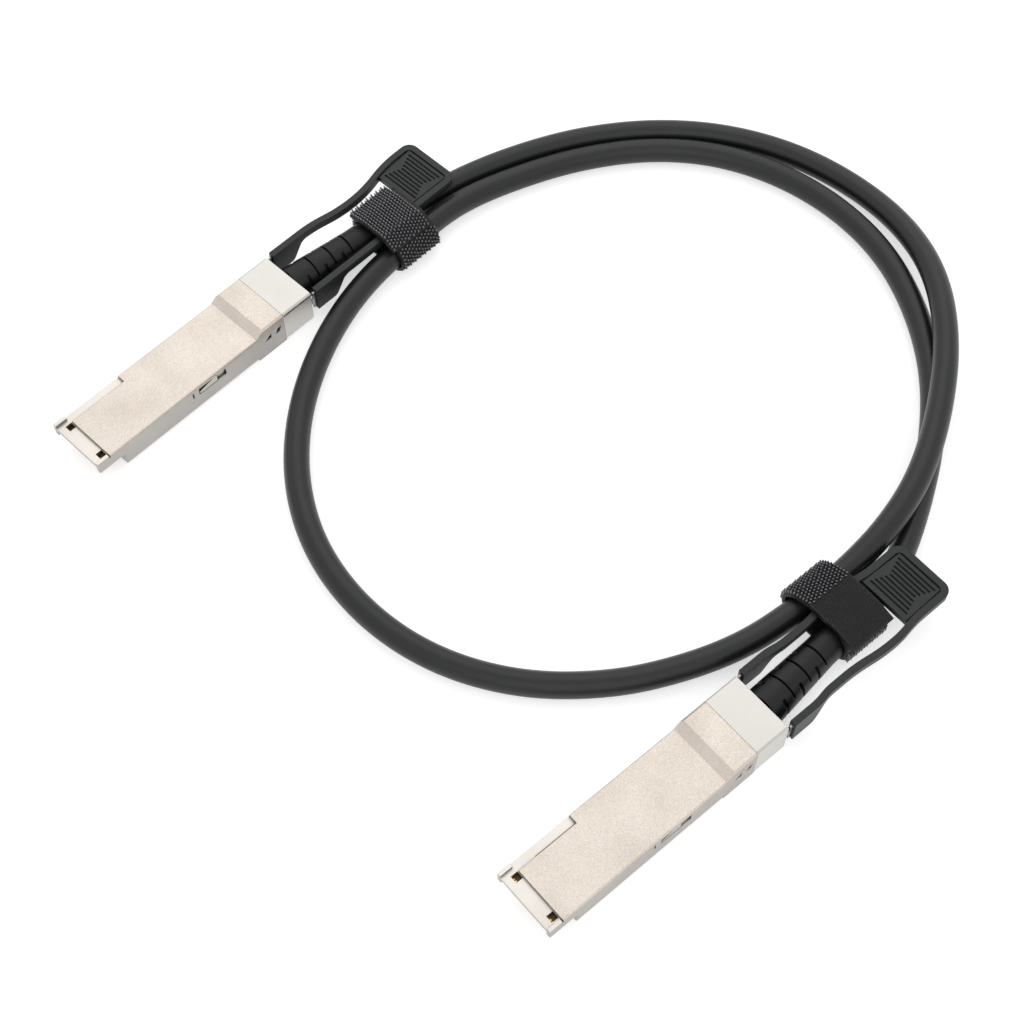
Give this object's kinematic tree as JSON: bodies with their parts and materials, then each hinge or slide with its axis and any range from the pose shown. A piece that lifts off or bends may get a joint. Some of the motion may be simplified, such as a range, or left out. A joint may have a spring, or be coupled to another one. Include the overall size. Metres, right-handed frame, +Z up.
{
  "type": "direct attach cable",
  "caption": "Passive copper direct attach cable with a pull-tab latching plug at each end, laid in a loop and held by two hook-and-loop straps.",
  "frame": {"origin": "middle of the underside of plug A's rear collar, on the surface the cable lies on", "axes": "+X from plug A's nose towards its cable, +Y to plug A's left, +Z up"},
  "size_m": [0.2273, 0.2026, 0.0145],
  "materials": {
    "plated_shell": "satin nickel-plated zinc die casting",
    "collar_steel": "satin stainless sheet",
    "spring_steel": "bright stamped spring steel",
    "black_tpe": "soft black elastomer",
    "card_green": "solder mask on glass-epoxy card",
    "contact_gold": "hard gold plating",
    "potting_white": "hot-melt potting",
    "pair_foil": "foil-shielded pair",
    "ferrule_metal": "tinned crimp ring",
    "hook_loop": "black nylon hook-and-loop tape",
    "cable_jacket": "smooth black jacket, slight sheen"
  },
  "bodies": {
    "cable_set": {"lower_shell_a": "plated_shell", "top_cover_a": "plated_shell", "rear_collar_a": "collar_steel", "paddle_card_a": "card_green", "card_contacts_a": "contact_gold", "solder_potting_a": "potting_white", "wire_pairs_a": "pair_foil", "crimp_ferrule_a": "ferrule_metal", "return_springs_a": "spring_steel", "strain_relief_a": "black_tpe", "strap_a": "hook_loop", "lower_shell_b": "plated_shell", "top_cover_b": "plated_shell", "rear_collar_b": "collar_steel", "paddle_card_b": "card_green", "card_contacts_b": "contact_gold", "solder_potting_b": "potting_white", "wire_pairs_b": "pair_foil", "crimp_ferrule_b": "ferrule_metal", "return_springs_b": "spring_steel", "strain_relief_b": "black_tpe", "strap_b": "hook_loop", "cable": "cable_jacket"},
    "latch_pull_a": {"latch_slider_a": "spring_steel", "pull_tab_a": "black_tpe"},
    "latch_pull_b": {"latch_slider_b": "spring_steel", "pull_tab_b": "black_tpe"}
  },
  "joints": [
    {"name": "latch_slide_a", "type": "slide", "parent": "cable_set", "child": "latch_pull_a", "axis": [1, 0, 0], "range_m": [0, 0.0025], "stiffness_N_per_m": 800, "springref_m": -0.003},
    {"name": "latch_slide_b", "type": "slide", "parent": "cable_set", "child": "latch_pull_b", "axis": [0.9953, -0.0964, 0], "range_m": [0, 0.0025], "stiffness_N_per_m": 800, "springref_m": -0.003}
  ]
}
